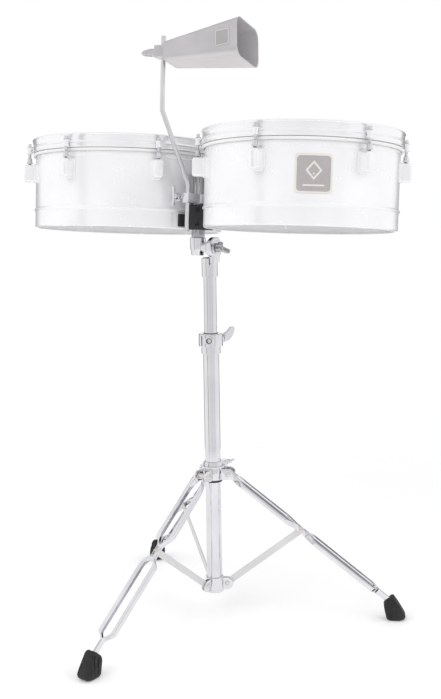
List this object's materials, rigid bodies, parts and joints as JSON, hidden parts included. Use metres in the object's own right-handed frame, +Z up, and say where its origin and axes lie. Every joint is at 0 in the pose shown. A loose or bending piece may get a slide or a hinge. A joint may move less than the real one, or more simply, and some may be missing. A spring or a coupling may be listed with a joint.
{
  "type": "timbales",
  "caption": "Pair of single-headed metal drums on a tilting, height-adjustable folding tripod stand, with a cowbell on a clamped rod.",
  "frame": {"origin": "on the floor, under the middle of the whole object's box", "axes": "+Z up along the stand's tube, -Y towards the audience, +X towards the smaller drum as the audience sees it"},
  "size_m": [0.697, 0.6442, 1.0567],
  "materials": {
    "head_film": "milky coated plastic film",
    "bell_steel": "satin grey plated sheet steel",
    "bell_label": "grey label with a plain cream square line",
    "badge_enamel": "grey enamel badge with a cream border, a plain diamond line and a bar",
    "rubber": "moulded black rubber",
    "black_plastic": "black nylon",
    "black_cast": "black powder coat on cast metal",
    "hoop_chrome": "bright chrome on pressed steel",
    "shell_chrome": "bright chrome on spun steel",
    "lug_chrome": "bright chrome on cast metal",
    "cast_chrome": "chrome on cast metal, slightly satin",
    "fastener_chrome": "chrome plated fasteners",
    "tube_chrome": "bright chrome on steel tube and strip"
  },
  "bodies": {
    "stand": {"lower_tube": "tube_chrome", "tube_end_plug": "black_plastic", "lower_collar": "tube_chrome", "lower_collar_rivets": "fastener_chrome", "height_collar": "cast_chrome", "height_collar_pin": "fastener_chrome", "height_bushing": "black_plastic"},
    "leg_hub": {"hub": "cast_chrome", "hub_liner": "black_plastic", "hub_rivets": "fastener_chrome", "hub_lock_ring": "cast_chrome"},
    "hub_screw": {"hub_wing_screw": "cast_chrome"},
    "height_screw": {"height_wing_screw": "cast_chrome"},
    "upper_column": {"upper_tube": "tube_chrome", "tilter_base": "cast_chrome", "sleeve_screw": "fastener_chrome"},
    "tilt_bolt": {"tilter_wing_bolt": "cast_chrome"},
    "drum_carrier": {"tilter_head": "cast_chrome", "drum_post": "tube_chrome", "mount_block": "black_cast", "block_screws": "black_cast", "left_drum_bracket": "black_cast", "right_drum_bracket": "black_cast", "bracket_screws": "fastener_chrome", "left_shell": "shell_chrome", "right_shell": "shell_chrome", "left_lugs": "lug_chrome", "right_lugs": "lug_chrome", "left_lug_inserts": "fastener_chrome", "right_lug_inserts": "fastener_chrome", "left_lug_screws": "fastener_chrome", "right_lug_screws": "fastener_chrome", "right_badge": "badge_enamel"},
    "left_hoop": {"left_drumhead": "head_film", "left_counter_hoop": "hoop_chrome", "left_claws": "hoop_chrome", "left_tension_bolts": "fastener_chrome"},
    "right_hoop": {"right_drumhead": "head_film", "right_counter_hoop": "hoop_chrome", "right_claws": "hoop_chrome", "right_tension_bolts": "fastener_chrome"},
    "bell_clamp": {"cowbell_clamp": "cast_chrome"},
    "bell_clamp_nut": {"cowbell_wing_nut": "cast_chrome"},
    "bell_rod": {"cowbell_rod": "tube_chrome"},
    "bell": {"cowbell": "bell_steel", "cowbell_bracket": "bell_steel", "cowbell_label": "bell_label"},
    "bell_screw": {"cowbell_thumb_screw": "bell_steel"},
    "leg_1": {"leg_1_straps": "tube_chrome", "leg_1_hardware": "fastener_chrome", "leg_1_foot": "rubber"},
    "brace_1": {"leg_1_brace": "tube_chrome"},
    "leg_2": {"leg_2_straps": "tube_chrome", "leg_2_hardware": "fastener_chrome", "leg_2_foot": "rubber"},
    "brace_2": {"leg_2_brace": "tube_chrome"},
    "leg_3": {"leg_3_straps": "tube_chrome", "leg_3_hardware": "fastener_chrome", "leg_3_foot": "rubber"},
    "brace_3": {"leg_3_brace": "tube_chrome"}
  },
  "joints": [
    {"name": "leg_fold", "type": "slide", "parent": "stand", "child": "leg_hub", "axis": [0, 0, 1], "range_m": [0, 0.12433]},
    {"name": "hub_screw_turn", "type": "hinge", "parent": "leg_hub", "child": "hub_screw", "pos_m": [0.02445, -0.0281, 0.2864], "axis": [0.9272, 0.3746, 0], "continuous": true},
    {"name": "height_screw_turn", "type": "hinge", "parent": "stand", "child": "height_screw", "pos_m": [0.02092, -0.02327, 0.5145], "axis": [0.8192, 0.5736, 0], "continuous": true},
    {"name": "leg_1_swing", "type": "hinge", "parent": "leg_hub", "child": "leg_1", "pos_m": [0.02949, -0.04229, 0.268], "axis": [0.1409, 0.99, 0], "range_deg": [0, 41.36]},
    {"name": "brace_1_swing", "type": "hinge", "parent": "stand", "child": "brace_1", "pos_m": [0.02355, -0.04145, 0.06], "axis": [-0.1409, -0.99, 0], "range_deg": [0, 41.08]},
    {"name": "leg_2_swing", "type": "hinge", "parent": "leg_hub", "child": "leg_2", "pos_m": [-0.01872, -0.06168, 0.268], "axis": [0.7869, -0.617, 0], "range_deg": [0, 41.36]},
    {"name": "brace_2_swing", "type": "hinge", "parent": "stand", "child": "brace_2", "pos_m": [-0.01502, -0.05695, 0.06], "axis": [-0.7869, 0.617, 0], "range_deg": [0, 41.08]},
    {"name": "leg_3_swing", "type": "hinge", "parent": "leg_hub", "child": "leg_3", "pos_m": [-0.0114, -0.01023, 0.268], "axis": [-0.9278, -0.373, 0], "range_deg": [0, 41.36]},
    {"name": "brace_3_swing", "type": "hinge", "parent": "stand", "child": "brace_3", "pos_m": [-0.00916, -0.0158, 0.06], "axis": [0.9278, 0.373, 0], "range_deg": [0, 41.08]},
    {"name": "height_slide", "type": "slide", "parent": "stand", "child": "upper_column", "axis": [0, 0, 1], "range_m": [-0.09, 0.2]},
    {"name": "tilt_bolt_turn", "type": "hinge", "parent": "upper_column", "child": "tilt_bolt", "pos_m": [0.01373, -0.04839, 0.6794], "axis": [0.8039, -0.5948, 0], "continuous": true},
    {"name": "drum_tilt", "type": "hinge", "parent": "upper_column", "child": "drum_carrier", "pos_m": [-0.00021, -0.03807, 0.6794], "axis": [0.8039, -0.5948, 0], "range_deg": [-25, 25]},
    {"name": "left_head_lift", "type": "slide", "parent": "drum_carrier", "child": "left_hoop", "axis": [0.0431, 0.0583, 0.9974], "range_m": [0, 0.01]},
    {"name": "right_head_lift", "type": "slide", "parent": "drum_carrier", "child": "right_hoop", "axis": [0.0431, 0.0583, 0.9974], "range_m": [0, 0.01]},
    {"name": "bell_clamp_turn", "type": "hinge", "parent": "drum_carrier", "child": "bell_clamp", "pos_m": [-0.01722, -0.02154, 0.76439], "axis": [0.0431, 0.0583, 0.9974], "range_deg": [-4, 25]},
    {"name": "bell_nut_turn", "type": "hinge", "parent": "bell_clamp", "child": "bell_clamp_nut", "pos_m": [-0.05465, -0.04859, 0.7706], "axis": [-0.5933, -0.8017, 0.0725], "continuous": true},
    {"name": "bell_rod_slide", "type": "slide", "parent": "bell_clamp", "child": "bell_rod", "axis": [0.0431, 0.0583, 0.9974], "range_m": [-0.012, 0.05]},
    {"name": "bell_turn", "type": "hinge", "parent": "bell_rod", "child": "bell", "pos_m": [-0.0733, -0.05648, 1.01551], "axis": [0.0431, 0.0583, 0.9974], "range_deg": [-90, 90]},
    {"name": "bell_screw_turn", "type": "hinge", "parent": "bell", "child": "bell_screw", "pos_m": [-0.0849, -0.05096, 1.01569], "axis": [-0.903, 0.4293, 0.014], "continuous": true}
  ],
  "couplings": [
    {"joint": "leg_1_swing", "follows": "leg_fold", "rad_per_m": 5.7995},
    {"joint": "brace_1_swing", "follows": "leg_fold", "rad_per_m": 5.7596},
    {"joint": "leg_2_swing", "follows": "leg_fold", "rad_per_m": 5.7995},
    {"joint": "brace_2_swing", "follows": "leg_fold", "rad_per_m": 5.7596},
    {"joint": "leg_3_swing", "follows": "leg_fold", "rad_per_m": 5.7995},
    {"joint": "brace_3_swing", "follows": "leg_fold", "rad_per_m": 5.7596}
  ]
}
